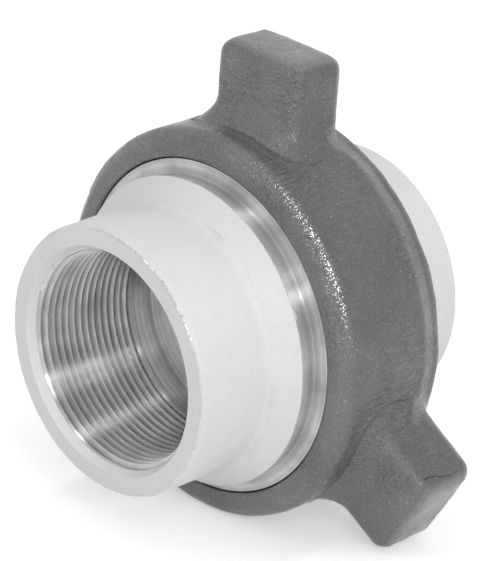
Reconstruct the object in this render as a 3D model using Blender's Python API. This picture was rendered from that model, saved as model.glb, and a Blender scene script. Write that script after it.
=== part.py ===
"""Hammer union for 2-inch threaded line pipe: two pipe ends drawn together by a lugged wing nut.

Lengths are in metres. The union lies on its wing nut with its axis along Y. The pipe mouth of the
thread-end sub faces -Y, the pipe mouth of the nut-end sub faces +Y, and Z is up. Places along the
axis are counted from the thread-end sub's pipe face until the last step sets the union on the floor.
"""
import math

import bmesh
import bpy
from mathutils import Vector

# Pipe sockets: right-hand taper thread of 2-inch line pipe, 11.5 to the inch, with a plain run-out bore
PIPE_CREST_RADIUS = 0.0283
PIPE_TAPER = 1 / 32
PIPE_PITCH = 0.0254 / 11.5
PIPE_THREAD_HEIGHT = 0.00177
PIPE_FADE_TURNS = 1.5
COUNTERSINK_WIDTH = 0.0022
COUNTERSINK_DEPTH = 0.0027
FRONT_THREAD_DEPTH = 0.0347
FRONT_RUNOUT = 0.0064
REAR_THREAD_DEPTH = 0.0270
REAR_RUNOUT = 0.0030
BORE_STEP = 0.0029

# Thread-end sub: hub, forged body, turned band and thread collar
FRONT_HUB_WALL = 0.0070
HUB_FILLET = 0.0050
BODY_LENGTH = 0.0078
BODY_STEP = 0.0009
BODY_ROUND = 0.0012
BAND_LENGTH = 0.0045
THREAD_LENGTH = 0.0250
COLLAR_CHAMFER = 0.0021
END_CHAMFER = 0.0016

# Ball nose and cone seat
BORE_LAND = 0.0046
SEAT_ANGLE = math.radians(32)
SEAT_DEPTH = 0.0128
SEAT_LAND = 0.0018
SEAT_WALL = 0.0058
SEAT_CONTACT = 0.55
SEAT_GAP = 0.0003

# Coarse Acme thread, four to the inch, right hand
ACME_PITCH = 0.00635
ACME_FLANK_ANGLE = math.radians(14.5)
ROOT_CLEARANCE = 0.00022
RADIAL_CLEARANCE = 0.00035
FLANK_CLEARANCE = 0.0003
GROOVE_FADE_TURNS = 1 / 6

# Nut-end sub: shoulder and hub
REAR_HUB_WALL = 0.0077
REAR_HUB_LENGTH = 0.0235
SHOULDER_GAP = 0.0006
SHOULDER_THICKNESS = 0.0040
SHOULDER_CLEARANCE = 0.0005

# Wing nut: forged ring
NUT_WALL = 0.00825
NUT_FRONT_ROUND = 0.0042
NUT_REAR_BAND = 0.0065
NUT_REAR_DROP = 0.0019
NUT_REAR_ROUND = 0.0034
MOUTH_CLEARANCE = 0.0009
COUNTERBORE_DEPTH = 0.0075
THREAD_RELIEF = 0.0010
LIP_THICKNESS = 0.0061
LIP_CLEARANCE = 0.0006
LIP_CHAMFER = 0.0009

# Hammer lugs
LUG_COUNT = 3
LUG_TURN = math.radians(5.0)
LUG_HEIGHT = 0.0200
LUG_WIDTH = 0.0294
LUG_THICKNESS = 0.0176
LUG_REAR_SETBACK = 0.0045
LUG_EDGE_ROUND = 0.0034
LUG_TIP_CORNER = 0.0004
LUG_DRAFT = math.radians(0.6)
LUG_FILLET = 0.0070
LUG_REAR_FILLET = 0.0026
LUG_FILLET_START = math.radians(18)
LUG_FOOT_SINK = 0.0006
LUG_ROOT_DEPTH = 0.0035

# Edges and facets
EDGE_ROUND = 0.0006
TURN_SEGMENTS = 48
PIPE_SEGMENTS = 32
CORNER_STEPS = 2
ARC_STEPS = 5
LUG_FACE_STEPS = 5
MERGE_DISTANCE = 1e-6
SMOOTH_ANGLE = math.radians(28)

# Radii that follow from the ones above, from the bore outward
through_bore_radius = PIPE_CREST_RADIUS - BORE_STEP
front_hub_radius = PIPE_CREST_RADIUS + FRONT_HUB_WALL
rear_hub_radius = PIPE_CREST_RADIUS + REAR_HUB_WALL
seat_inner_radius = through_bore_radius + SEAT_LAND
seat_mouth_radius = seat_inner_radius + SEAT_DEPTH * math.tan(SEAT_ANGLE)
thread_root_radius = seat_mouth_radius + SEAT_WALL
body_radius = thread_root_radius + BODY_STEP
acme_depth = ACME_PITCH / 2
acme_major_radius = thread_root_radius + ROOT_CLEARANCE + acme_depth
acme_pitch_radius = acme_major_radius - acme_depth / 2
cutter_overrun = acme_depth / 2
nut_bore_radius = thread_root_radius + RADIAL_CLEARANCE
nut_root_radius = acme_major_radius + RADIAL_CLEARANCE
mouth_radius = acme_major_radius + MOUTH_CLEARANCE
shoulder_radius = nut_bore_radius - SHOULDER_CLEARANCE
lip_radius = rear_hub_radius + LIP_CLEARANCE
nut_radius = nut_root_radius + NUT_WALL
lug_tip_radius = nut_radius + LUG_HEIGHT
lug_tip_round = LUG_EDGE_ROUND - LUG_TIP_CORNER

# Places along the axis that follow, from the front pipe face to the rear one
front_socket_depth = FRONT_THREAD_DEPTH + FRONT_RUNOUT
rear_socket_depth = REAR_THREAD_DEPTH + REAR_RUNOUT
seat_start = front_socket_depth + BORE_LAND
thread_sub_end = seat_start + SEAT_DEPTH
thread_collar_start = thread_sub_end - THREAD_LENGTH
body_end = thread_collar_start - BAND_LENGTH
body_start = body_end - BODY_LENGTH
shoulder_front = thread_sub_end + SHOULDER_GAP
shoulder_rear = shoulder_front + SHOULDER_THICKNESS
nut_front = thread_collar_start
counterbore_end = nut_front + COUNTERBORE_DEPTH
relief_start = thread_sub_end - THREAD_RELIEF
lip_front = shoulder_rear + SEAT_GAP
nut_rear = lip_front + LIP_THICKNESS
lug_rear = nut_rear - LUG_REAR_SETBACK
lug_front = lug_rear - LUG_THICKNESS
union_length = nut_rear + REAR_HUB_LENGTH
segment_angle = math.tau / TURN_SEGMENTS


def rounded(outline):
    """Points of a closed outline of (radius, place, corner radius), each corner made a tangent arc."""
    points = []
    for index, (radius, place, corner) in enumerate(outline):
        here = Vector((radius, place))
        if corner == 0:
            points.append(tuple(here))
            continue
        before = (Vector(outline[index - 1][:2]) - here).normalized()
        after = (Vector(outline[(index + 1) % len(outline)][:2]) - here).normalized()
        half = before.angle(after) / 2
        centre = here + (before + after).normalized() * corner / math.sin(half)
        start = here + before * corner / math.tan(half) - centre
        end = here + after * corner / math.tan(half) - centre
        sweep = math.pi - 2 * half
        for step in range(CORNER_STEPS + 1):
            share = step / CORNER_STEPS
            arm = start * math.sin((1 - share) * sweep) + end * math.sin(share * sweep)
            points.append(tuple(centre + arm / math.sin(sweep)))
    return points


def new_object(name, shell):
    """A scene object that holds the finished shell, shaded smooth but for its sharp edges."""
    bmesh.ops.remove_doubles(shell, verts=shell.verts, dist=MERGE_DISTANCE)
    bmesh.ops.recalc_face_normals(shell, faces=shell.faces)
    mesh = bpy.data.meshes.new(name)
    shell.to_mesh(mesh)
    shell.free()
    mesh.shade_smooth()
    mesh.set_sharp_from_angle(angle=SMOOTH_ANGLE)
    piece = bpy.data.objects.new(name, mesh)
    bpy.context.scene.collection.objects.link(piece)
    return piece


def turned(name, outline):
    """A closed outline of (radius, place) points turned once about the axis, with a flat straight down."""
    shell = bmesh.new()
    side, up = math.sin(segment_angle / 2), math.cos(segment_angle / 2)
    corners = [shell.verts.new((radius * side, place, radius * up)) for radius, place in outline]
    edges = [shell.edges.new(pair) for pair in zip(corners, corners[1:] + corners[:1])]
    bmesh.ops.spin(
        shell,
        geom=corners + edges,
        cent=(0, 0, 0),
        axis=(0, 1, 0),
        angle=math.tau,
        steps=TURN_SEGMENTS,
        use_merge=True,
    )
    return new_object(name, shell)


def lofted(name, loops_of_each_body):
    """Closed bodies, each skinned over its own list of point loops and capped at both ends."""
    shell = bmesh.new()
    for loops in loops_of_each_body:
        rows = [[shell.verts.new(point) for point in loop] for loop in loops]
        for lower, upper in zip(rows, rows[1:]):
            for index in range(len(lower)):
                following = (index + 1) % len(lower)
                shell.faces.new((lower[index], lower[following], upper[following], upper[index]))
        shell.faces.new(rows[0])
        shell.faces.new(rows[-1])
    return new_object(name, shell)


def groove_half_width(radius):
    """Half the width of the sub's Acme groove at a radius: half a pitch wide on the pitch line."""
    return ACME_PITCH / 4 + (radius - acme_pitch_radius) * math.tan(ACME_FLANK_ANGLE)


def thread_cutter(name, section, first, last, offset, fade_turns=0):
    """A helical bar that cuts a groove, climbing one pitch for each turn from +Z towards +X.

    section holds (radius, place) points about the groove's middle line, first and last are the places
    where that line starts and ends, and offset moves the whole helix along the axis. Over fade_turns
    the bar rises out of the metal at its first end, as a cutting tool runs out.
    """
    overhang = section[-1][0] - section[0][0]
    start = math.floor((first - offset) / ACME_PITCH * TURN_SEGMENTS)
    stop = math.ceil((last - offset) / ACME_PITCH * TURN_SEGMENTS)
    fade_steps = round(fade_turns * TURN_SEGMENTS)
    loops = []
    for step in range(start - fade_steps, stop + 1):
        angle = step * segment_angle
        middle = offset + ACME_PITCH * step / TURN_SEGMENTS
        lift = overhang * max(0, start - step) / fade_steps if fade_steps else 0
        loops.append([
            (
                (radius + lift) * math.sin(angle),
                middle + place,
                (radius + lift) * math.cos(angle),
            )
            for radius, place in section
        ])
    return lofted(name, [loops])


def cut_or_join(piece, tool, operation):
    """Apply a tool body to a piece by an exact Boolean, and keep the tool as a wire guide only."""
    modifier = piece.modifiers.new(tool.name, "BOOLEAN")
    modifier.operation = operation
    modifier.solver = "EXACT"
    modifier.object = tool
    tool.hide_render = True
    tool.display_type = "WIRE"


def paint(piece, name, colour, roughness, metallic):
    """Give a piece its own Principled material."""
    material = bpy.data.materials.new(name)
    material.use_nodes = True
    shader = material.node_tree.nodes["Principled BSDF"]
    shader.inputs["Base Color"].default_value = (*colour, 1)
    shader.inputs["Roughness"].default_value = roughness
    shader.inputs["Metallic"].default_value = metallic
    piece.data.materials.append(material)


def pipe_tap(name, face, inward, thread_depth, socket_depth):
    """A plug that leaves a threaded pipe socket, from an open face inward (+1 or -1) to its step.

    A countersink leads to rows of crests and roots, which climb one pitch for each turn from +Z towards
    +X. The roots grow shallow over the last turns, and a plain run-out bore goes on to the step.
    """
    countersink_slope = COUNTERSINK_WIDTH / COUNTERSINK_DEPTH + PIPE_TAPER
    thread_start = (COUNTERSINK_WIDTH - PIPE_THREAD_HEIGHT) / (countersink_slope - PIPE_TAPER)

    def radius_at(depth, height):
        fade = min(1, (thread_depth - depth) / (PIPE_FADE_TURNS * PIPE_PITCH))
        thread = PIPE_CREST_RADIUS - depth * PIPE_TAPER + height * fade
        return max(thread, PIPE_CREST_RADIUS + COUNTERSINK_WIDTH - depth * countersink_slope)

    shell = bmesh.new()
    columns = []
    for step in range(PIPE_SEGMENTS + 1):
        turned_by = (step + 0.5) / PIPE_SEGMENTS
        angle = math.tau * turned_by
        column = [(radius_at(-cutter_overrun, 0), -cutter_overrun)]
        for half_turn in range(-2 * math.ceil(thread_depth / PIPE_PITCH) - 4, 3):
            depth = thread_depth + PIPE_PITCH * (half_turn / 2 + inward * turned_by)
            depth = min(max(depth, thread_start), thread_depth)
            column.append((radius_at(depth, PIPE_THREAD_HEIGHT * (half_turn % 2)), depth))
        column.append((radius_at(thread_depth, 0), socket_depth))
        columns.append([
            shell.verts.new((radius * math.sin(angle), face + inward * depth, radius * math.cos(angle)))
            for radius, depth in column
        ])
    for left, right in zip(columns, columns[1:]):
        for lower in range(len(left) - 1):
            shell.faces.new((left[lower], right[lower], right[lower + 1], left[lower + 1]))
    bmesh.ops.remove_doubles(shell, verts=shell.verts, dist=MERGE_DISTANCE)
    bmesh.ops.holes_fill(shell, edges=[edge for edge in shell.edges if edge.is_boundary])
    return new_object(name, shell)


def thread_end_sub():
    """The sub with the outside thread: hub, forged body, turned band, thread collar and cone seat."""
    outline = [
        (through_bore_radius, 0, 0),
        (through_bore_radius, seat_start, 0),
        (seat_inner_radius, seat_start, 0),
        (seat_mouth_radius, thread_sub_end, 0),
        (acme_major_radius - END_CHAMFER, thread_sub_end, 0),
        (acme_major_radius, thread_sub_end - END_CHAMFER, 0),
        (acme_major_radius, thread_collar_start + COLLAR_CHAMFER, 0),
        (thread_root_radius, thread_collar_start, 0),
        (thread_root_radius, body_end + BODY_STEP, 0),
        (body_radius, body_end, 0),
        (body_radius, body_start, BODY_ROUND),
        (front_hub_radius, body_start - (body_radius - front_hub_radius) / 2, HUB_FILLET),
        (front_hub_radius, 0, EDGE_ROUND),
    ]
    sub = turned("thread_end_sub", rounded(outline))
    root = thread_root_radius
    clear_of_crest = acme_major_radius + cutter_overrun
    section = [
        (root, -groove_half_width(root)),
        (root, groove_half_width(root)),
        (clear_of_crest, groove_half_width(clear_of_crest)),
        (clear_of_crest, -groove_half_width(clear_of_crest)),
    ]
    groove = thread_cutter(
        "outside_thread_groove",
        section,
        counterbore_end - ACME_PITCH / 4,
        thread_sub_end + ACME_PITCH,
        thread_sub_end,
        GROOVE_FADE_TURNS,
    )
    cut_or_join(sub, groove, "DIFFERENCE")
    tap = pipe_tap("front_pipe_tap", 0, 1, FRONT_THREAD_DEPTH, front_socket_depth)
    cut_or_join(sub, tap, "DIFFERENCE")
    paint(sub, "off_white_paint", (0.72, 0.72, 0.70), 0.45, 0.0)
    return sub, [groove, tap]


def nut_end_sub():
    """The plain sub: ball nose in the cone seat, shoulder behind the nut's lip, hub with a pipe socket."""
    contact_radius = seat_inner_radius + SEAT_CONTACT * (seat_mouth_radius - seat_inner_radius)
    contact_place = seat_start + (contact_radius - seat_inner_radius) / math.tan(SEAT_ANGLE)
    ball_radius = contact_radius / math.cos(SEAT_ANGLE)
    ball_place = contact_place + ball_radius * math.sin(SEAT_ANGLE)
    nose_radius = ball_radius - SEAT_GAP
    tip_angle = math.acos(seat_inner_radius / nose_radius)
    neck_angle = math.asin((ball_place - shoulder_front) / nose_radius)
    ball = []
    for step in range(ARC_STEPS + 1):
        angle = tip_angle + (neck_angle - tip_angle) * step / ARC_STEPS
        ball.append((nose_radius * math.cos(angle), ball_place - nose_radius * math.sin(angle), 0))
    outline = [(through_bore_radius, ball[0][1], 0)]
    outline += ball
    outline += [
        (shoulder_radius, shoulder_front, EDGE_ROUND),
        (shoulder_radius, shoulder_rear, EDGE_ROUND),
        (rear_hub_radius, shoulder_rear, EDGE_ROUND),
        (rear_hub_radius, union_length, EDGE_ROUND),
        (through_bore_radius, union_length, 0),
    ]
    sub = turned("nut_end_sub", rounded(outline))
    tap = pipe_tap("rear_pipe_tap", union_length, -1, REAR_THREAD_DEPTH, rear_socket_depth)
    cut_or_join(sub, tap, "DIFFERENCE")
    paint(sub, "off_white_paint_rear", (0.72, 0.72, 0.70), 0.45, 0.0)
    return sub, [tap]


def lug_outline(outset, rear_outset):
    """(across, along) points round the walls of a lug, a rectangle with round corners.

    The sides and the front stand out by outset, and the rear by rear_outset.
    """
    front = lug_front - outset
    rear = lug_rear + rear_outset
    corner = LUG_EDGE_ROUND + outset
    flat_across = LUG_WIDTH / 2 + outset - corner
    flat_along = (rear - front) / 2 - corner
    points = []
    for quarter, (side_across, side_along) in enumerate(((1, 1), (-1, 1), (-1, -1), (1, -1))):
        for step in range(CORNER_STEPS + 2):
            angle = (quarter + step / (CORNER_STEPS + 1)) * math.pi / 2
            points.append((
                side_across * flat_across + corner * math.cos(angle),
                (front + rear) / 2 + side_along * flat_along + corner * math.sin(angle),
            ))
        if side_across == side_along:
            place = rear if side_along == 1 else front
            for step in range(1, LUG_FACE_STEPS):
                share = 1 - 2 * step / LUG_FACE_STEPS
                points.append((side_across * flat_across * share, place))
    return points


def foot_loop(outset, rear_outset, rise):
    """A loop round a lug at a height above the ring that follows the ring's curve."""
    outline = lug_outline(outset, rear_outset)
    return [(across, along, math.sqrt(nut_radius**2 - across**2) + rise) for across, along in outline]


def lug_body(angle):
    """Loops of one forged lug, from its buried root through the fillet and the walls to the round tip."""
    wall_height = lug_tip_radius - lug_tip_round - nut_radius - LUG_FILLET
    wall_outset = wall_height * math.tan(LUG_DRAFT)
    loops = []
    for step in range(ARC_STEPS + 1):
        share = step / ARC_STEPS
        turn = LUG_FILLET_START + (math.pi / 2 - LUG_FILLET_START) * share
        outset = wall_outset + LUG_FILLET * (1 - math.sin(turn))
        rear_outset = wall_outset + LUG_REAR_FILLET * (1 - math.sin(turn))
        if step == 0:
            loops.append(foot_loop(outset, rear_outset, -LUG_ROOT_DEPTH))
        rise = LUG_FILLET * (1 - math.cos(turn)) - LUG_FOOT_SINK * (1 - share)
        loops.append(foot_loop(outset, rear_outset, rise))
    for step in range(ARC_STEPS):
        turn = math.pi / 2 * step / (ARC_STEPS - 1)
        inset = lug_tip_round * (1 - math.cos(turn))
        height = lug_tip_radius - lug_tip_round * (1 - math.sin(turn))
        loops.append([(across, along, height) for across, along in lug_outline(-inset, -inset)])
    sine, cosine = math.sin(angle), math.cos(angle)
    return [[(x * cosine + z * sine, y, z * cosine - x * sine) for x, y, z in loop] for loop in loops]


def wing_nut():
    """The forged nut: ring with a lipped bore, three hammer lugs and the inside thread."""
    outline = [
        (mouth_radius, nut_front, EDGE_ROUND),
        (mouth_radius, counterbore_end, 0),
        (nut_bore_radius, counterbore_end + (mouth_radius - nut_bore_radius) / 2, 0),
        (nut_bore_radius, relief_start, 0),
        (mouth_radius, relief_start, 0),
        (mouth_radius, lip_front, 0),
        (lip_radius + LIP_CHAMFER, lip_front, 0),
        (lip_radius, lip_front + LIP_CHAMFER, 0),
        (lip_radius, nut_rear - LIP_CHAMFER, 0),
        (lip_radius + LIP_CHAMFER, nut_rear, 0),
        (nut_radius - NUT_REAR_DROP, nut_rear, NUT_REAR_ROUND),
        (nut_radius, nut_rear - NUT_REAR_BAND, 0),
        (nut_radius, nut_front, NUT_FRONT_ROUND),
    ]
    nut = turned("wing_nut", rounded(outline))
    lugs = lofted("lug_forms", [lug_body(LUG_TURN + math.tau * index / LUG_COUNT) for index in range(LUG_COUNT)])
    cut_or_join(nut, lugs, "UNION")
    clear_of_bore = nut_bore_radius - cutter_overrun
    section = []
    for radius, side in ((clear_of_bore, -1), (clear_of_bore, 1), (nut_root_radius, 1), (nut_root_radius, -1)):
        ridge_half_width = ACME_PITCH / 2 - groove_half_width(radius)
        section.append((radius, side * (ridge_half_width + FLANK_CLEARANCE)))
    groove = thread_cutter(
        "inside_thread_groove",
        section,
        counterbore_end - ACME_PITCH / 2,
        (relief_start + lip_front) / 2,
        thread_sub_end + ACME_PITCH / 2,
    )
    cut_or_join(nut, groove, "DIFFERENCE")
    paint(nut, "dark_grey_paint", (0.13, 0.13, 0.135), 0.42, 0.0)
    return nut, [lugs, groove]


def set_on_floor(pieces, nut):
    """Hang every piece on one empty on the axis, and place it so the union lies centred on the floor."""
    axis = bpy.data.objects.new("union_axis", None)
    bpy.context.scene.collection.objects.link(axis)
    for piece in pieces:
        piece.parent = axis
    bpy.context.view_layer.update()
    shape = nut.evaluated_get(bpy.context.evaluated_depsgraph_get())
    across = [corner[0] for corner in shape.bound_box]
    heights = [corner[2] for corner in shape.bound_box]
    axis.location = (-(min(across) + max(across)) / 2, -union_length / 2, -min(heights))
    bpy.context.view_layer.update()


for old in list(bpy.data.objects):
    bpy.data.objects.remove(old, do_unlink=True)
front_sub, front_tools = thread_end_sub()
rear_sub, rear_tools = nut_end_sub()
nut, nut_tools = wing_nut()
set_on_floor([front_sub, rear_sub, nut, *front_tools, *rear_tools, *nut_tools], nut)
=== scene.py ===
"""Looks of a hammer union for 2-inch line pipe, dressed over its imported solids.

Lengths are in metres. The union lies on its wing nut, axis along Y. Places along the axis are counted
from the thread-end sub's pipe face, and angles round it from straight up towards +X.
"""

import bmesh
import bpy
import numpy as np
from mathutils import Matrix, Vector


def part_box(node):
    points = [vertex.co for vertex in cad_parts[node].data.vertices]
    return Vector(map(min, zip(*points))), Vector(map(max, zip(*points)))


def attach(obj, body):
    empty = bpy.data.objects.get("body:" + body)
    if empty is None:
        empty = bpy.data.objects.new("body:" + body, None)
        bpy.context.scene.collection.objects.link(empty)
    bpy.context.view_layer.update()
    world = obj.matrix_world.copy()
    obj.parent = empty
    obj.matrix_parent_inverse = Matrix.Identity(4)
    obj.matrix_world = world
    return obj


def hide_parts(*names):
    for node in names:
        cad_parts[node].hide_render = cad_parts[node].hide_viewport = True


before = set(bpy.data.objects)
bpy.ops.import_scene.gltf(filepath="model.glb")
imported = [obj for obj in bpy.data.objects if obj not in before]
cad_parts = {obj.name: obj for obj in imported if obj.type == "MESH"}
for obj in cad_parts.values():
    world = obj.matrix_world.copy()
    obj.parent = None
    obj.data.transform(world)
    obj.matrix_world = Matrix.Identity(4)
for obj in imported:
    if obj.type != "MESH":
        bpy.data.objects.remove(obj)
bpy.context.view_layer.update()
if "Cube" in bpy.data.objects:
    bpy.data.objects.remove(bpy.data.objects["Cube"], do_unlink=True)

# Thread-end sub. One steel forging, painted off-white on its forged skin. The pipe thread, the band
# beside the nut, the coarse outside thread and the cone seat are turned on a lathe and left bare.
low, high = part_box("thread_end_sub")
axis_x, axis_z, front_face = (low.x + high.x) / 2, (low.z + high.z) / 2, low.y
round_columns = np.linspace(0, 2 * np.pi, 289)


def run(corners, longest=0.0011, guard=0.00012):
    """Rows of (radius, along) down straight lines whose corners (radius, along, round) become arcs.

    An arc of radius r in a corner of half angle h starts r / tan h from the corner, about a centre
    r / sin h away, and is swept as (start sin((1-s)a) + end sin(s a)) / sin a. Straight stretches
    are cut to at most longest, with one more row a guard's width from each end.
    """
    corners = np.array(corners, float)
    points = [corners[:1, :2]]
    for before, corner, after in zip(corners, corners[1:], corners[2:]):
        here, radius = corner[:2], corner[2]
        back, on = before[:2] - here, after[:2] - here
        back, on = back / np.linalg.norm(back), on / np.linalg.norm(on)
        if radius == 0:
            points.append(here[None])
            continue
        half = np.arccos(back @ on) / 2
        centre = here + (back + on) / np.linalg.norm(back + on) * radius / np.sin(half)
        start = here + back * radius / np.tan(half) - centre
        end = here + on * radius / np.tan(half) - centre
        sweep = np.pi - 2 * half
        share = np.linspace(0, 1, 3 + int(radius / 0.0006))[:, None]
        arc = start * np.sin((1 - share) * sweep) + end * np.sin(share * sweep)
        points.append(centre + arc / np.sin(sweep))
    points = np.vstack(points + [corners[-1:, :2]])
    rows = []
    for start, end in zip(points, points[1:]):
        length = np.linalg.norm(end - start)
        cuts = np.arange(int(np.ceil(length / longest))) / max(1, np.ceil(length / longest))
        if length > 4 * guard:
            cuts = np.sort(np.concatenate([cuts, [guard / length, 1 - guard / length]]))
        rows.append(start + (end - start) * cuts[:, None])
    return np.vstack(rows + [points[-1:]])


def all_round(rows, columns):
    """The same (radius, along) rows at every column, as two arrays of rows by columns."""
    return tuple(np.repeat(rows[:, axis, None], len(columns), axis=1) for axis in (0, 1))


def thread_rows(start, end, pitch, place, shares, columns, surface):
    """Rows that follow a right-hand thread between two places along the axis.

    A row lies at place + pitch (turn + share + angle / 2 pi), kept within start and end. The radius is
    surface(along, offset, middle), where offset is the distance from the nearest turn of the line
    through place, and middle is where that turn crosses this angle.
    """
    turns = np.arange(np.floor((start - place) / pitch) - 1, np.ceil((end - place) / pitch) + 1)
    share = (turns[:, None] + np.asarray(shares)).ravel()
    lead = pitch * columns / (2 * np.pi)
    along = np.clip(place + pitch * share[:, None] + lead, start, end)
    offset = (along - place - lead + pitch / 2) % pitch - pitch / 2
    return surface(along, offset, along - offset), along


def stacked(runs):
    """Radii, places along the axis and material slots of all rows of a skin, from its runs of rows."""
    radius, along = (np.vstack([rows[k] for rows, slot in runs]) for k in (0, 1))
    return radius, along, np.concatenate([np.full(len(rows[0]), slot) for rows, slot in runs])


def wander(points, size, seed, waves=24):
    """Smooth random relief between about -1 and 1: a sum of sine waves of random direction and phase.

    Wavelengths lie between 0.7 and 1.6 times size.
    """
    draw = np.random.default_rng(seed)
    way = draw.normal(size=(waves, 3))
    way *= (2 * np.pi / (size * draw.uniform(0.7, 1.6, waves)) / np.linalg.norm(way, axis=1))[:, None]
    return np.sin(points @ way.T + draw.uniform(0, 2 * np.pi, waves)).sum(-1) / np.sqrt(waves) / 1.5


def place_round(radius, along, columns):
    """Frame coordinates of (radius, along) at each column's angle."""
    return np.stack(np.broadcast_arrays(
        axis_x + radius * np.sin(columns),
        front_face + along,
        axis_z + radius * np.cos(columns),
    ), axis=-1)


def closed_ring(name, points, slots, materials, crease=38):
    """A closed skin over rows by columns of points, welded where its rows and its two end columns meet.

    slots gives the material of each row's faces. The skin is turned so that its enclosed volume, the sum
    of a . (b x c) / 6 over its triangles, comes out positive.
    """
    rows, columns = points.shape[:2]
    index = np.arange(rows * columns).reshape(rows, columns)
    after = np.roll(index, -1, axis=0)
    faces = np.stack([index[:, :-1], index[:, 1:], after[:, 1:], after[:, :-1]], axis=-1).reshape(-1, 4)
    corners = points.reshape(-1, 3)
    a, b, c, d = (corners[faces[:, k]] - corners[0] for k in range(4))
    if (np.cross(a, b) * c + np.cross(a, c) * d).sum() < 0:
        faces = faces[:, ::-1]
    mesh = bpy.data.meshes.new(name)
    mesh.from_pydata(corners.tolist(), [], faces.tolist())
    mesh.polygons.foreach_set("material_index", np.repeat(np.asarray(slots, np.int32), columns - 1))
    skin = bmesh.new()
    skin.from_mesh(mesh)
    bmesh.ops.remove_doubles(skin, verts=skin.verts, dist=1e-6)
    bmesh.ops.dissolve_degenerate(skin, edges=skin.edges, dist=1e-7)
    skin.to_mesh(mesh)
    skin.free()
    for material in materials:
        mesh.materials.append(material)
    mesh.shade_smooth()
    mesh.set_sharp_from_angle(angle=np.radians(crease))
    piece = bpy.data.objects.new(name, mesh)
    bpy.context.scene.collection.objects.link(piece)
    return piece


def new_material(name):
    """A material with an empty Principled shader, and a helper that adds nodes and links to it."""
    material = bpy.data.materials.new(name)
    material.use_nodes = True
    tree = material.node_tree

    def add(kind, inputs=None, **settings):
        node = tree.nodes.new("ShaderNode" + kind)
        for key, value in settings.items():
            setattr(node, key, value)
        for key, value in (inputs or {}).items():
            if isinstance(value, bpy.types.NodeSocket):
                tree.links.new(value, node.inputs[key])
            else:
                node.inputs[key].default_value = value
        return node

    return material, tree.nodes["Principled BSDF"], tree.links, add


def maths(add, operation, first, second=0.0, third=0.0, clamp=False):
    """One step of arithmetic on node sockets or numbers."""
    return add("Math", {0: first, 1: second, 2: third}, operation=operation, use_clamp=clamp).outputs[0]


def round_the_axis(add):
    """The point being shaded as (x, along, z) from the pipe face, and its distance from the axis."""
    where = add("TexCoord").outputs["Object"]
    centred = add("Mapping", {"Vector": where, "Location": (-axis_x, -front_face, -axis_z)}).outputs[0]
    x, along, z = add("SeparateXYZ", {0: centred}).outputs
    square = maths(add, "MULTIPLY_ADD", x, x, maths(add, "MULTIPLY", z, z))
    return centred, x, along, z, maths(add, "SQRT", square)


def scaled(add, value, low_in, high_in, low_out=0.0, high_out=1.0):
    """A value carried in a straight line from one range to another, and held within it."""
    return add("MapRange", {0: value, 1: low_in, 2: high_in, 3: low_out, 4: high_out}).outputs[0]


def noise(add, point, size, detail=2.0, roughness=0.5):
    """Noise of about a given size in metres, near 0.5 on the whole."""
    return add("TexNoise", {
        "Vector": point, "Scale": 1 / size, "Detail": detail, "Roughness": roughness,
    }).outputs[0]


def blend(add, share, first, second, **settings):
    """The colour a share of the way from the first to the second."""
    return add("Mix", {0: share, 6: first, 7: second}, data_type="RGBA", **settings).outputs[2]


def darkened(add, colour, tone):
    """A colour times a tone, which may pass 1."""
    return blend(add, tone, (0.0, 0.0, 0.0, 1), colour, clamp_factor=False)


def lathe_finish(add, tone, roughness, seed):
    """Colour, roughness, tangent and height of steel turned on a lathe: fine rings, bands and stains.

    Rings and bands are noise on (radius, along), the same all round. The tangent runs round the axis.
    """
    centred, x, along, z, radius = round_the_axis(add)
    rings_at = add("CombineXYZ", {0: radius, 1: along, 2: float(seed)}).outputs[0]
    bands = scaled(add, noise(add, rings_at, 0.0009), 0.3, 0.7, 0.84, 1.12)
    stains = scaled(add, noise(add, centred, 0.012, 6.0, 0.65), 0.35, 0.68)
    stained = maths(add, "MULTIPLY", bands, maths(add, "MULTIPLY_ADD", stains, -0.34, 1.1))
    colour = darkened(add, (*tone, 1), stained)
    rough = maths(add, "MULTIPLY_ADD", stains, 0.08, roughness)
    around = add("CombineXYZ", {0: z, 2: maths(add, "MULTIPLY", x, -1.0)}).outputs[0]
    tangent = add(
        "VectorTransform", {0: around}, vector_type="VECTOR", convert_from="OBJECT", convert_to="WORLD"
    ).outputs[0]
    return colour, rough, tangent, noise(add, rings_at, 0.00035, 3.0, 0.6)


def turned_steel(name, tone, roughness, seed):
    """Bare steel off the lathe: highlights stretch across its fine rings."""
    material, shader, links, add = new_material(name)
    colour, rough, tangent, height = lathe_finish(add, tone, roughness, seed)
    bump = add("Bump", {"Strength": 0.3, "Distance": 0.00005, "Height": height}).outputs[0]
    shader.inputs["Metallic"].default_value = 1.0
    shader.inputs["Anisotropic"].default_value = 1.0
    shader.inputs["Anisotropic Rotation"].default_value = 0.25
    links.new(colour, shader.inputs["Base Color"])
    links.new(rough, shader.inputs["Roughness"])
    links.new(tangent, shader.inputs["Tangent"])
    links.new(bump, shader.inputs["Normal"])
    return material


steel_tone, steel_roughness = (0.70, 0.70, 0.695), 0.30
bare_steel = turned_steel("turned_steel", steel_tone, steel_roughness, 1)
collar_steel = turned_steel("dulled_collar_steel", (0.56, 0.56, 0.556), 0.32, 2)


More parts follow.
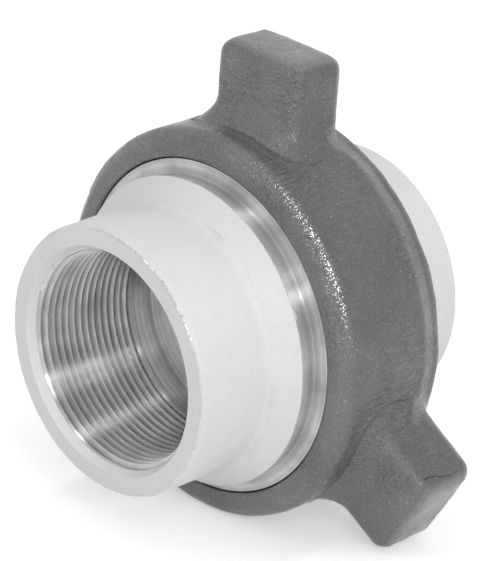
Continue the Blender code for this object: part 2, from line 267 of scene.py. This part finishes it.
def forged_paint(name, light, dark, roughness, seed, grain, relief, speck, marks=None, steel_where=None):
    """Satin paint over a forged, shot-blasted skin: soft dimples, fine grain and pale specks, all noise.

    grain is the size of the grain, relief the depth of the whole, and speck the noise level above which a
    speck shows. marks adds the piece's own wear, and on the nut painted light too: it takes the node helper,
    the point, its place round the axis, the colour and the height, and gives colour, height and metal.
    steel_where gives 1 where the paint is and 0 where turned steel is bare.
    """
    material, shader, links, add = new_material(name)
    centred, *place = round_the_axis(add)
    centred = add("VectorMath", {0: centred, 1: (seed, 0.0, 0.0)}, operation="ADD").outputs[0]
    patches = noise(add, centred, 0.022, 5.0, 0.6)
    fine = noise(add, centred, grain, 1.0, 0.6)
    height = maths(add, "MULTIPLY_ADD", noise(add, centred, 0.0022, 2.0), 1.2, fine)
    specks = scaled(add, noise(add, centred, 0.0005, 1.0), speck, speck + 0.05)
    lifted = maths(add, "ADD", patches, 0.25)
    mottle = maths(add, "MULTIPLY_ADD", scaled(add, fine, 0.25, 0.75), -0.5, lifted, clamp=True)
    colour = blend(add, mottle, (*light, 1), (*dark, 1))
    colour = blend(add, maths(add, "MULTIPLY", specks, 0.5), colour, (0.6, 0.6, 0.6, 1))
    rough = scaled(add, patches, 0.3, 0.7, roughness - 0.04, roughness + 0.05)
    if marks is not None:
        colour, height, metal = marks(add, centred, place, colour, height)
        if metal is not None:
            links.new(metal, shader.inputs["Metallic"])
    if steel_where is not None:
        paint = steel_where(add)
        steel, steel_rough, tangent, rings = lathe_finish(add, steel_tone, steel_roughness, 1)
        colour = blend(add, paint, steel, colour)
        rough = add("Mix", {0: paint, 2: steel_rough, 3: rough}).outputs[0]
        low_rings, raised = maths(add, "MULTIPLY", rings, 0.2), maths(add, "ADD", height, 1.2)
        height = add("Mix", {0: paint, 2: low_rings, 3: raised}).outputs[0]
        bare = maths(add, "SUBTRACT", 1.0, paint)
        links.new(bare, shader.inputs["Metallic"])
        links.new(bare, shader.inputs["Anisotropic"])
        shader.inputs["Anisotropic Rotation"].default_value = 0.25
        links.new(tangent, shader.inputs["Tangent"])
    bump = add("Bump", {"Strength": 1.0, "Distance": relief, "Height": height}).outputs[0]
    links.new(colour, shader.inputs["Base Color"])
    links.new(rough, shader.inputs["Roughness"])
    links.new(bump, shader.inputs["Normal"])
    return material


tick_radius, tick_along, tick_gap = 0.0377, 0.0231, 0.0009


def struck_ticks(add, centred, place, colour, height):
    """A broken ring of short ticks at the foot of the flare: a sine of the angle, its phase moved by noise.

    The ticks are let into the height. The colour stays, and no metal shows.
    """
    x, along, z, radius = place
    turn = maths(add, "ARCTAN2", x, z)
    uneven = maths(add, "MULTIPLY", noise(add, centred, 0.0018, 2.0), 9.0)
    turns = maths(add, "MULTIPLY_ADD", turn, 2 * np.pi * tick_radius / tick_gap, uneven)
    wave = scaled(add, maths(add, "SINE", turns), 0.2, 0.8)
    away = maths(add, "ABSOLUTE", maths(add, "SUBTRACT", along, tick_along))
    ticks = maths(add, "MULTIPLY", wave, scaled(add, away, 0.0004, 0.0007, 1.0, 0.0))
    ticks = maths(add, "MULTIPLY", ticks, scaled(add, noise(add, centred, 0.012, 1.0), 0.42, 0.62))
    return colour, maths(add, "MULTIPLY_ADD", ticks, -1.1, height), None


paint_lip, rim_radius, flare_radius, flare_edge = 0.0305, 0.0352, 0.04165, 0.0286


def outside_paint(add):
    """1 on the painted hub and flare, 0 on the turned band behind it and where the rim is chipped.

    The paint ends on a cone just behind the flare's edge, moved to and fro by noise. At the rim of the
    pipe face it is gone within a noisy distance of the edge, sqrt((radius - rim) ^ 2 + along ^ 2).
    """
    centred, x, along, z, radius = round_the_axis(add)
    wavy = maths(add, "MULTIPLY_ADD", noise(add, centred, 0.0040, 3.0, 0.6), 0.0036, -0.0016)
    from_flare = maths(add, "SUBTRACT", radius, flare_radius - 0.00005)
    edge = maths(add, "MULTIPLY_ADD", from_flare, 0.8, flare_edge + 0.0006)
    beyond = maths(add, "SUBTRACT", along, maths(add, "ADD", edge, wavy))
    before_edge = scaled(add, beyond, -0.00003, 0.00003, 1.0, 0.0)
    off_rim = maths(add, "SUBTRACT", radius, rim_radius)
    square = maths(add, "MULTIPLY_ADD", off_rim, off_rim, maths(add, "MULTIPLY", along, along))
    chip = maths(add, "MULTIPLY_ADD", noise(add, centred, 0.0007, 3.0, 0.7), 0.0019, -0.0007)
    past_chip = maths(add, "SUBTRACT", maths(add, "SQRT", square), chip)
    return maths(add, "MULTIPLY", before_edge, scaled(add, past_chip, 0.0, 0.00005))


countersink_slope, countersink_end = 0.54, 0.0024


def painted_cone(add, depth, radius):
    """1 where radius + slope x depth stays at the countersink's lip, 0 in the grooves and past its end."""
    beyond = maths(add, "MULTIPLY_ADD", depth, countersink_slope, radius)
    on_cone = scaled(add, beyond, paint_lip + 0.00006, paint_lip + 0.00012, 1.0, 0.0)
    in_mouth = scaled(add, depth, countersink_end, countersink_end + 0.00006, 1.0, 0.0)
    return maths(add, "MULTIPLY", on_cone, in_mouth)


def countersink_paint(add):
    """1 on the painted countersink of the front socket, 0 on its thread."""
    centred, x, along, z, radius = round_the_axis(add)
    return painted_cone(add, along, radius)


hub_paint = dict(roughness=0.46, grain=0.0005, relief=0.00011, speck=0.70)
cream, shaded_cream = (0.84, 0.84, 0.835), (0.74, 0.74, 0.735)
off_white = forged_paint(
    "off_white_paint", cream, shaded_cream, seed=0.0, marks=struck_ticks, steel_where=outside_paint,
    **hub_paint,
)
# Painted light: the countersink's cream is painted lighter than the hub's, for the light that falls on its
# slope.
socket_finish_painted_lighter = forged_paint(
    "painted_countersink", (0.91, 0.91, 0.905), (0.83, 0.83, 0.825), seed=0.0,
    steel_where=countersink_paint, **hub_paint,
)

pipe_pitch = 0.0254 / 11.5
pipe_shares = (-0.06, 0.0, 0.06, 0.25, 0.44, 0.5, 0.56, 0.75)
pipe_crest, pipe_taper, pipe_height = 0.0283, 1 / 32, 0.00177
flank_start, flank_width, thread_runout = 0.06, 0.38, 1.5


def pipe_thread(depth):
    """Radius of a 2-inch taper thread seen from its mouth: a cone plus grooves, cut away by the countersink.

    The grooves start where the countersink ends, and their depth falls off over the last turn and a half.
    Their flanks are straight lines from crest to root, as offset / pitch goes from 0.06 to 0.44.
    """
    def surface(along, offset, middle):
        share = np.abs(offset) / pipe_pitch
        deep = np.clip((share - flank_start) / flank_width, 0, 1)
        fade = np.clip((depth - middle) / (thread_runout * pipe_pitch), 0, 1)
        fade = fade * np.clip((along - countersink_end + 0.0002) / 0.0003, 0, 1)
        crest = pipe_crest - along * pipe_taper
        return np.maximum(crest + pipe_height * deep * fade, paint_lip - countersink_slope * along)
    return surface


acme_pitch, acme_root, acme_major = 0.00635, 0.0410, 0.0444
acme_depth = acme_pitch / 2
acme_pitch_radius = acme_major - acme_depth / 2
acme_flank = np.tan(np.radians(14.5))
acme_shares = (0.0, 0.08, 0.165, 0.1764, 0.19, 0.245, 0.30, 0.3146, 0.33, 0.41, 0.5,
               0.59, 0.67, 0.6854, 0.70, 0.755, 0.81, 0.8236, 0.835, 0.92)
sub_end, end_bevel, acme_first = 0.0585, 0.0016, 0.03941


def outside_thread(along, offset, middle):
    """Radius of the sub's Acme thread, whose sides rise at 14.5 degrees.

    The groove runs in over a sixth of a turn, and the end is bevelled at 45 degrees.
    """
    groove = acme_pitch_radius + (np.abs(offset) - acme_pitch / 4) / acme_flank
    run_in = np.clip((middle - acme_first) / (acme_pitch / 6) + 1, 0, 1)
    deep = acme_major - np.clip(groove, acme_root, acme_major)
    return np.minimum(acme_major - deep * run_in, acme_major - (along - sub_end + end_bevel))


hub_outside, band_radius, band_end = 0.0361, 0.04115, 0.0315
hub = run([
    (paint_lip, 0, 0), (rim_radius, 0, 0.0002), (0.0359, 0.0012, 0.0008), (hub_outside, 0.0221, 0.0042),
    (flare_radius, flare_edge, 0.0003), (0.0416, 0.0289, 0.0001), (0.04125, 0.0293, 0.0002),
    (band_radius, band_end, 0),
])
collar_radius, collar_face, collar_foot, collar_end = 0.0451, 0.0340, 0.0335, 0.0362
collar = run([
    (band_radius, band_end, 0), (0.0411, collar_foot, 0.0004), (collar_radius, collar_face, 0.0003),
    (acme_major, collar_end, 0),
])
# The forged skin is slightly uneven, and the rim of the pipe face has small dents.
hub_radius, hub_along = all_round(hub, round_columns)
hub_points = place_round(hub_radius, hub_along, round_columns)
forged = np.clip((flare_edge - hub_along) / 0.001, 0, 1) * np.clip((hub_radius - 0.0350) / 0.0002, 0, 1)
hub_radius = hub_radius - forged * (0.00005 + 0.00005 * wander(hub_points, 0.006, 11))
rim = np.exp(-(((hub_along - 0.0002) / 0.0007) ** 2)) * np.clip((hub_radius - 0.0340) / 0.0012, 0, 1)
hub_radius = hub_radius - rim * 0.00022 * np.clip(wander(hub_points, 0.0022, 13), 0, 1)
outside = thread_rows(collar_end, sub_end, acme_pitch, sub_end, acme_shares, round_columns, outside_thread)
seat_radius, seat_width, seat_front, seat_mouth = 0.0272, 0.0080, 0.0457, 0.0352
bore_radius, bore_front, socket_end, relief_radius = 0.0254, 0.0411, 0.0347, 0.02722
inside = run([
    (0.0409, sub_end, 0), (seat_mouth, sub_end, 0.0003), (seat_radius, seat_front, 0.0002),
    (bore_radius, seat_front, 0.0003), (bore_radius, bore_front, 0.0003), (relief_radius, bore_front, 0.0002),
    (relief_radius, socket_end, 0),
])
socket_thread = pipe_thread(socket_end)
socket = thread_rows(0.0, socket_end, pipe_pitch, socket_end, pipe_shares, round_columns, socket_thread)
# The runs of rows follow each other round the section, each with the place of its material in the list.
runs = [
    ((hub_radius, hub_along), 0),
    (all_round(collar, round_columns), 3),
    (outside, 1),
    (all_round(inside, round_columns), 2),
    ((socket[0][::-1], socket[1][::-1]), 2),
]
radius, along, slots = stacked(runs)
thread_sub = closed_ring("thread_end_sub_forging", place_round(radius, along, round_columns), slots,
                         [off_white, bare_steel, socket_finish_painted_lighter, collar_steel])
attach(thread_sub, "thread_end_sub")
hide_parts("thread_end_sub")

# Nut-end sub. A second forging of the same steel, painted on its hub. The ball nose that presses into
# the cone seat, the shoulder that the nut pulls on and the pipe thread are turned and left bare.
union_end, shoulder_front, shoulder_rear, shoulder_radius = 0.0930, 0.0591, 0.0631, 0.04085
# The ball touches the cone a little over half of the way up it, and its centre lies square to the cone there.
seat_angle = np.radians(32)
up_the_seat, ball_clearance = 0.55 * seat_width, 0.0003
ball_radius = (seat_radius + up_the_seat) / np.cos(seat_angle)
ball_place = seat_front + up_the_seat / np.tan(seat_angle) + ball_radius * np.sin(seat_angle)
nose_radius = ball_radius - ball_clearance
nose_tip = np.arccos(seat_radius / nose_radius)
nose_foot = np.arcsin((ball_place - shoulder_front) / nose_radius)
nose_turn = np.linspace(nose_tip, nose_foot, 26)[:, None]
nose = np.hstack([nose_radius * np.cos(nose_turn), ball_place - nose_radius * np.sin(nose_turn)])
neck_radius, rear_outside = float(nose[-1, 0]), 0.0360
shoulder = run([
    (neck_radius, shoulder_front, 0), (shoulder_radius, shoulder_front, 0.0006),
    (shoulder_radius, shoulder_rear, 0.0006), (rear_outside, shoulder_rear, 0.0006),
    (rear_outside, shoulder_rear + 0.0012, 0),
])
rear_hub = run([
    (rear_outside, shoulder_rear + 0.0012, 0), (rear_outside, union_end, 0.0006), (paint_lip, union_end, 0),
])
rear_depth, rear_step, rear_relief, nose_front = 0.0270, 0.0630, 0.02744, float(nose[0, 1])
rear_start = union_end - rear_depth
rear_inside = run([
    (rear_relief, rear_start, 0), (rear_relief, rear_step, 0.0002), (bore_radius, rear_step, 0.0003),
    (bore_radius, nose_front, 0.0002), (seat_radius, nose_front, 0),
])


def rear_thread(along, offset, middle):
    """The same pipe thread, whose depth is counted from the union's far end."""
    return pipe_thread(rear_depth)(union_end - along, offset, union_end - middle)


rear_socket = thread_rows(
    rear_start, union_end, pipe_pitch, rear_start, pipe_shares, round_columns, rear_thread)


def rear_countersink_paint(add):
    """1 on the painted countersink of the rear socket, 0 on its thread."""
    centred, x, along, z, radius = round_the_axis(add)
    return painted_cone(add, maths(add, "SUBTRACT", union_end, along), radius)


rear_off_white = forged_paint("off_white_paint_rear", cream, shaded_cream, seed=3.0, **hub_paint)
rear_finish = forged_paint(
    "painted_rear_countersink", cream, shaded_cream, seed=3.0, steel_where=rear_countersink_paint,
    **hub_paint,
)
runs = [
    (all_round(nose, round_columns), 1),
    (all_round(shoulder, round_columns), 1),
    (all_round(rear_hub, round_columns), 0),
    ((rear_socket[0][::-1], rear_socket[1][::-1]), 2),
    (all_round(rear_inside, round_columns), 2),
]
radius, along, slots = stacked(runs)
points = place_round(radius, along, round_columns)
forged = np.clip((radius - 0.0355) / 0.0004, 0, 1) * np.clip((union_end - 0.0006 - along) / 0.001, 0, 1)
forged = forged * (slots == 0)[:, None]
radius = radius - forged * (0.00004 + 0.00004 * wander(points, 0.007, 12))
nut_sub = closed_ring("nut_end_sub_forging", place_round(radius, along, round_columns), slots,
                      [rear_off_white, bare_steel, rear_finish])
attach(nut_sub, "nut_end_sub")
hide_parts("nut_end_sub")

# Wing nut. One forging with three hammer lugs, dark grey satin paint over its shot-blasted skin and
# into its mouth. Its thread and the lip behind the shoulder are turned on a lathe, bare and oiled.
nut_front, nut_rear, nut_radius, mouth_radius = 0.0335, 0.0695, 0.05286, 0.0453
# Each lug's angle, tip radius, width, front and rear. The second is thicker to the rear, as photographed.
lugs = (
    (np.radians(5.0), 0.0733, 0.0294, 0.0474, 0.0650),
    (np.radians(124.6), 0.07272, 0.0290, 0.0468, 0.0668),
    (np.radians(245.0), 0.07292, 0.0294, 0.0474, 0.0650),
)


def round_both(first, second, radius):
    """Distance to where two bodies overlap, with its edge rounded.

    It is |(max(a + r, 0), max(b + r, 0))| + min(-r, max(a, b)).
    """
    outside = np.hypot(np.maximum(first + radius, 0), np.maximum(second + radius, 0))
    return outside + np.minimum(-radius, np.maximum(first, second))


def fillet_either(first, second, radius):
    """Distance to two bodies joined with a fillet: max(r, min(a, b)) - |(max(r - a, 0), max(r - b, 0))|."""
    inside = np.hypot(np.maximum(radius - first, 0), np.maximum(radius - second, 0))
    return np.maximum(radius, np.minimum(first, second)) - inside


def smooth_step(low_end, high_end, value):
    """0 up to one end, 1 from the other on, and 3 t t - 2 t t t between. The ends may run downwards."""
    share = np.clip((value - low_end) / (high_end - low_end), 0, 1)
    return share * share * (3 - 2 * share)


front_round, rear_round, lug_round, tip_round = 0.0042, 0.0009, 0.0036, 0.0042
lug_draft, lug_root, crown_across, crown_along = np.radians(0.6), 0.02, 1.2, 1.5
front_fillet, fillet_loss = 0.0070, 0.0044
slope_start, slope_length, slope_drop, slope_side = 0.0624, 0.0046, 0.0016, 0.00487
rear_band, rear_band_front = 0.05135, 0.0500
ridge_at, groove_at, fold_width, fold_height = 0.0063, 0.0048, 0.0007, 0.0003
fold_fades, fold_gone = 0.0570, 0.0610


def nut_body(radius, along, angle):
    """Distance-like value of the forged nut without its bore: negative inside, positive outside.

    The ring slopes down behind to a narrow band. Each lug is a box with draft, a crowned tip and round
    edges, joined with a fillet that tightens to the rear. A fold, one bell curve less another of the
    distance to the lug, runs round its foot and fades out to the rear.
    """
    ring = round_both(radius - nut_radius, nut_front - along, front_round)
    slope = (radius - nut_radius) * slope_length + (along - slope_start) * slope_drop
    ring = round_both(ring, slope / slope_side, 0.0004)
    ring = np.minimum(ring, np.maximum(radius - rear_band, rear_band_front - along))
    body = round_both(ring, along - nut_rear, rear_round)
    for lug_angle, tip, width, front, rear in lugs:
        across = radius * np.sin(angle - lug_angle)
        height = radius * np.cos(angle - lug_angle)
        taper = (tip - height) * np.tan(lug_draft)
        side = np.abs(across) - width / 2 - taper
        facing = np.maximum(front - along, along - rear) - taper
        end = height - tip + crown_across * across**2 + crown_along * (along - (front + rear) / 2) ** 2
        lug = round_both(round_both(side, facing, lug_round), end, tip_round)
        lug = np.maximum(lug, lug_root - height)
        fillet = front_fillet - fillet_loss * smooth_step(0.058, 0.065, along)
        ridge = np.exp(-(((lug - ridge_at) / fold_width) ** 2))
        groove = np.exp(-(((lug - groove_at) / fold_width) ** 2))
        fold = (ridge - groove) * smooth_step(fold_gone, fold_fades, along)
        body = fillet_either(body, lug, fillet) - fold_height * fold
    return body


def spread(stops):
    """Values that run through stops (value, rows to the next), evenly between each two."""
    parts = [
        np.linspace(start, end, count, endpoint=False)
        for (start, count), (end, _) in zip(stops, stops[1:])
    ]
    return np.append(np.concatenate(parts), stops[-1][0])


# Columns crowd together on the sides and feet of the lugs, and stand evenly between the lugs.
foot_angle = 24.5
lug_lines = spread([(0, 5), (8.7, 8), (11.9, 11), (14.2, 14), (foot_angle, 0)])
lug_columns = []
for index, (lug_angle, *_) in enumerate(lugs):
    middle = np.degrees(lug_angle)
    following = np.degrees(lugs[(index + 1) % 3][0]) + (360 if index == 2 else 0)
    between = np.linspace(middle + foot_angle, following - foot_angle, 46)[1:-1]
    lug_columns.append(np.concatenate([middle - lug_lines[:0:-1], middle + lug_lines, between]))
nut_columns = np.radians(np.concatenate(lug_columns))
nut_columns = np.append(nut_columns, nut_columns[0] + 2 * np.pi)

core_radius, core_along = 0.0475, 0.0560
fan = np.radians(spread([
    (94.07, 4), (86.7, 12), (73.3, 6), (66, 16), (34.5, 10), (21.3, 9), (11.5, 4), (0, 4), (-12.4, 9),
    (-22.2, 12), (-46.6, 14), (-66, 12), (-88, 7), (-125.1, 0),
]))
step_out, step_back = np.cos(fan)[:, None], -np.sin(fan)[:, None]


def body_along_ray(reach):
    """The nut's distance value at a reach along every ray of the fan, in every column."""
    return nut_body(core_radius + step_out * reach, core_along + step_back * reach, nut_columns)


# The skin is where rays fanned from a circle inside the ring first leave the body: a march, then halving.
march = 0.0005
near = np.zeros((len(fan), len(nut_columns)))
leaving = np.zeros(near.shape, bool)
for reach in np.arange(march, 0.034, march):
    leaving |= body_along_ray(np.full(near.shape, reach)) > 0
    near = np.where(leaving, near, reach)
far = near + march
for _ in range(24):
    middle = (near + far) / 2
    out = body_along_ray(middle) > 0
    near, far = np.where(out, near, middle), np.where(out, middle, far)
skin_radius, skin_along = core_radius + step_out * near, core_along + step_back * near

nut_bore, nut_root, counterbore_end, relief_start, lip_front = 0.04135, 0.044743, 0.0410, 0.0575, 0.0634


def inside_thread(along, offset, middle):
    """Radius of the nut's Acme thread: the sub's ridges plus clearance, behind the counterbore's chamfer."""
    groove = acme_pitch_radius + (acme_pitch / 4 + 0.0003 - np.abs(offset)) / acme_flank
    return np.maximum(np.clip(groove, nut_bore, nut_root), mouth_radius - 2 * (along - counterbore_end))


nut_shares = (0.0, 0.1, 0.19, 0.2233, 0.24, 0.28, 0.33, 0.3643, 0.38, 0.44, 0.5,
              0.56, 0.62, 0.6357, 0.67, 0.72, 0.76, 0.7767, 0.81, 0.9)
lip_radius, lip_bevel = 0.0366, 0.0009
lip = run([
    (0.0380, nut_rear, 0), (lip_radius + lip_bevel, nut_rear, 0.0003),
    (lip_radius, nut_rear - lip_bevel, 0.0003), (lip_radius, lip_front + lip_bevel, 0.0003),
    (lip_radius + lip_bevel, lip_front, 0.0002), (mouth_radius, lip_front, 0.0003),
    (mouth_radius, relief_start, 0),
])
nut_thread_place = sub_end + acme_pitch / 2
nut_thread = thread_rows(
    counterbore_end, relief_start, acme_pitch, nut_thread_place, nut_shares, nut_columns, inside_thread)
mouth = run([(mouth_radius, counterbore_end, 0), (mouth_radius, nut_front, 0.0006), (0.0459, nut_front, 0)])
runs = [
    ((skin_radius, skin_along), 0),
    (all_round(lip, nut_columns), 1),
    ((nut_thread[0][::-1], nut_thread[1][::-1]), 1),
    (all_round(mouth, nut_columns), 0),
]
radius, along, slots = stacked(runs)
points = place_round(radius, along, nut_columns)
forged = smooth_step(nut_front, nut_front + 0.0006, along) * smooth_step(0.0462, 0.0475, radius)
forged = forged * (slots == 0)[:, None]
inward = points - place_round(np.full_like(radius, core_radius), np.full_like(along, core_along), nut_columns)
inward /= np.linalg.norm(inward, axis=-1, keepdims=True) + 1e-9
broad_relief, fine_relief = 0.00016, 0.00007
relief = broad_relief * (1 + wander(points, 0.010, 21)) + fine_relief * (1 + wander(points, 0.0035, 22))
points = points - inward * (forged * relief)[..., None]

# Painted light on the nut: faces turned to the front or the rear, and the lug tips, are painted paler than
# the sides.
side_tone, front_painted_light, rear_painted_light, tip_painted_light = 0.74, 0.42, 0.5, 0.6
tip_from, tip_full = 0.0680, 0.0712
# A painted glint: bright metal specks crowd along the nut's front corner round one angle, where a highlight
# falls.
painted_glint_at, painted_glint_lean, fleck_and_glint_metal = np.radians(53), 0.57, 0.9
cracked_lug, crack_start, crack_slope, crack_drift = lugs[1][0], 0.0549, 0.25, 0.002
crack_side, crack_side_full, crack_front, crack_front_full = 0.0135, 0.0142, 0.0485, 0.0500


def toward(add, x, z, angle):
    """How far a point lies out from the axis towards an angle: x sin + z cos."""
    return maths(add, "MULTIPLY_ADD", x, np.sin(angle), maths(add, "MULTIPLY", z, np.cos(angle)))


def hard_use_and_painted_light(add, centred, place, colour, height):
    """Marks of forging and use on the nut, and painted light on its paint.

    Short strokes along the axis lie in patches. Painted light makes the ends and the lug tips paler, told
    by the way that the surface faces. A painted glint of bright metal specks lies along the front corner
    round one angle, over the same specks scattered in patches elsewhere, and a crack wanders across the
    side of one lug, along a line that climbs to the rear.
    """
    x, along, z, radius = place
    stretched = add("Mapping", {"Vector": centred, "Scale": (1.0, 0.22, 1.0)}).outputs[0]
    where = scaled(add, noise(add, centred, 0.016, 2.0), 0.40, 0.56)
    strokes = maths(add, "MULTIPLY", scaled(add, noise(add, stretched, 0.0011, 3.0, 0.6), 0.42, 0.62), where)
    height = maths(add, "MULTIPLY_ADD", strokes, 1.6, height)
    height = maths(add, "MULTIPLY_ADD", noise(add, centred, 0.006, 3.0, 0.6), 2.5, height)

    across, facing, up = add("SeparateXYZ", {0: add("TexCoord").outputs["Normal"]}).outputs
    # Painted light: the tone rises on faces turned to the front or the rear and on the outward faces of the
    # lug tips.
    front = scaled(add, facing, -1.0, 0.0, front_painted_light, 0.0)
    rear = scaled(add, facing, 0.05, 0.3, 0.0, rear_painted_light)
    outward = maths(add, "MULTIPLY_ADD", across, x, maths(add, "MULTIPLY", up, z))
    outward = scaled(add, maths(add, "DIVIDE", outward, radius), 0.7, 0.95)
    tip = maths(add, "MULTIPLY", outward, scaled(add, radius, tip_from, tip_full, 0.0, tip_painted_light))
    tone = maths(add, "ADD", maths(add, "ADD", front, rear), maths(add, "MULTIPLY_ADD", strokes, 0.16, tip))
    tone = maths(add, "ADD", tone, side_tone)

    start = maths(add, "MULTIPLY_ADD", noise(add, centred, 0.004, 3.0), crack_drift, crack_start)
    line = maths(add, "MULTIPLY_ADD", along, crack_slope, start)
    off_line = maths(add, "ABSOLUTE", maths(add, "SUBTRACT", toward(add, x, z, cracked_lug), line))
    on_side = scaled(add, toward(add, x, z, cracked_lug - np.pi / 2), crack_side, crack_side_full)
    crack = maths(add, "MULTIPLY", scaled(add, off_line, 0.00008, 0.00025, 1.0, 0.0), on_side)
    crack = maths(add, "MULTIPLY", crack, scaled(add, along, crack_front, crack_front_full))
    tone = maths(add, "MULTIPLY_ADD", crack, -0.35, tone)
    height = maths(add, "MULTIPLY_ADD", crack, -2.0, height)

    # Painted glint: bright specks crowd on the front corner by its facing and angle, over the same specks
    # scattered in patches.
    off_corner = maths(add, "ABSOLUTE", maths(add, "ADD", facing, painted_glint_lean))
    ahead = scaled(add, maths(add, "DIVIDE", toward(add, x, z, painted_glint_at), radius), 0.80, 0.985)
    painted_glint = maths(add, "MULTIPLY", scaled(add, off_corner, 0.04, 0.42, 1.0, 0.0), ahead)
    flecks_and_glint = maths(add, "MULTIPLY_ADD", painted_glint, 0.19, noise(add, centred, 0.0004, 0.0))
    patchy = scaled(add, noise(add, centred, 0.009, 3.0, 0.6), 0.5, 0.62, 0.08, 0.45)
    flecks_and_glint = maths(add, "MULTIPLY", scaled(add, flecks_and_glint, 0.76, 0.81), maths(add, "MAXIMUM", patchy, painted_glint))
    colour = blend(add, flecks_and_glint, darkened(add, colour, tone), (0.9, 0.9, 0.9, 1))
    return colour, height, maths(add, "MULTIPLY", flecks_and_glint, fleck_and_glint_metal)


# The nut's paint carries painted light: paler faces by the way they face, and a painted glint on the front
# corner.
dark_grey = forged_paint(
    "dark_grey_paint", (0.215, 0.215, 0.217), (0.095, 0.095, 0.097), roughness=0.17, seed=5.0, grain=0.0006,
    relief=0.00018, speck=0.70, marks=hard_use_and_painted_light)
oiled_steel = turned_steel("oiled_steel", (0.30, 0.30, 0.295), 0.3, 4)
nut = closed_ring("wing_nut_forging", points, slots, [dark_grey, oiled_steel])
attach(nut, "wing_nut")
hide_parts("wing_nut")

# Photographer's table: a white sweep under the union in a pale room. A strip light to the right, another
# overhead and a small box between them, all a little in front, draw the streaks on the turned steel.
scene = bpy.context.scene
scene.view_settings.view_transform = "Standard"
world = bpy.data.worlds.new("white_room")
scene.world = world
world.use_nodes = True
tree = world.node_tree
tree.nodes.clear()


def seen_directly(tree):
    """1 for rays from the camera or off gloss and glass, 0 for the rest."""
    path = tree.nodes.new("ShaderNodeLightPath")
    total = path.outputs["Is Camera Ray"]
    for name in ("Is Glossy Ray", "Is Transmission Ray"):
        join = tree.nodes.new("ShaderNodeMath")
        join.operation = "MAXIMUM"
        tree.links.new(total, join.inputs[0])
        tree.links.new(path.outputs[name], join.inputs[1])
        total = join.outputs[0]
    return total


surround, white = tree.nodes.new("ShaderNodeBackground"), tree.nodes.new("ShaderNodeBackground")
surround.inputs["Color"].default_value = (1, 1, 1, 1)
# More of the room's light comes from behind and from the right than from the camera's side.
brighter_way, room_level = (0.16, 0.26, -0.06), 0.62
direction = tree.nodes.new("ShaderNodeTexCoord")
lean, level = tree.nodes.new("ShaderNodeVectorMath"), tree.nodes.new("ShaderNodeMath")
lean.operation, level.operation = "DOT_PRODUCT", "MULTIPLY_ADD"
lean.inputs[1].default_value = brighter_way
level.inputs[1].default_value, level.inputs[2].default_value = 1.0, room_level
tree.links.new(direction.outputs["Generated"], lean.inputs[0])
tree.links.new(lean.outputs["Value"], level.inputs[0])
tree.links.new(level.outputs[0], surround.inputs["Strength"])
white.inputs["Color"].default_value = (1, 1, 1, 1)
white.inputs["Strength"].default_value = 1.0
mix, out = tree.nodes.new("ShaderNodeMixShader"), tree.nodes.new("ShaderNodeOutputWorld")
tree.links.new(seen_directly(tree), mix.inputs[0])
tree.links.new(surround.outputs[0], mix.inputs[1])
tree.links.new(white.outputs[0], mix.inputs[2])
tree.links.new(mix.outputs[0], out.inputs[0])

floor_mesh = bpy.data.meshes.new("floor")
floor_mesh.from_pydata([(-6, -6, 0), (6, -6, 0), (6, 6, 0), (-6, 6, 0)], [], [(0, 1, 2, 3)])
floor = bpy.data.objects.new("floor", floor_mesh)
scene.collection.objects.link(floor)
sweep = bpy.data.materials.new("white_sweep")
sweep.use_nodes = True
tree = sweep.node_tree
paper = tree.nodes["Principled BSDF"]
paper.inputs["Base Color"].default_value = (0.92, 0.92, 0.92, 1)
paper.inputs["Roughness"].default_value = 0.9
paper.inputs["Specular IOR Level"].default_value = 0.1
glow, both, mix = (tree.nodes.new("ShaderNode" + kind) for kind in ("Emission", "AddShader", "MixShader"))
glow.inputs["Strength"].default_value = 0.42
tree.links.new(paper.outputs[0], both.inputs[0])
tree.links.new(glow.outputs[0], both.inputs[1])
tree.links.new(seen_directly(tree), mix.inputs[0])
tree.links.new(paper.outputs[0], mix.inputs[1])
tree.links.new(both.outputs[0], mix.inputs[2])
tree.links.new(mix.outputs[0], tree.nodes["Material Output"].inputs[0])
floor_mesh.materials.append(sweep)

middle_of_union = Vector((axis_x, 0.0, axis_z))
for name, way, distance, size, watts in (
    ("right_strip", (0.80, -0.42, 0.41), 1.1, (0.60, 0.06), 2.2),
    ("top_strip", (0.0, -0.42, 0.91), 1.1, (0.06, 0.80), 2.0),
    ("front_box", (0.67, -0.49, 0.57), 1.3, (0.07, 0.07), 1.0),
):
    lamp = bpy.data.lights.new(name, "AREA")
    lamp.shape = "RECTANGLE"
    lamp.size, lamp.size_y = size
    lamp.energy = watts
    light = bpy.data.objects.new(name, lamp)
    way = Vector(way).normalized()
    light.location = middle_of_union + way * distance
    light.rotation_euler = (-way).to_track_quat("-Z", "Y").to_euler()
    scene.collection.objects.link(light)

# The camera was solved from the circles of the pipe face, socket, hub, band and nut in the photograph.
lens = bpy.data.cameras.new("camera")
lens.lens = 173.26
lens.sensor_width = 36
lens.clip_start = 0.01
camera = bpy.data.objects.new("camera", lens)
camera.location = (axis_x + 0.470402, front_face - 0.413965, axis_z + 0.268178)
camera.rotation_euler = Vector((-0.663257, 0.652887, -0.365826)).to_track_quat("-Z", "Y").to_euler()
scene.collection.objects.link(camera)
scene.camera = camera
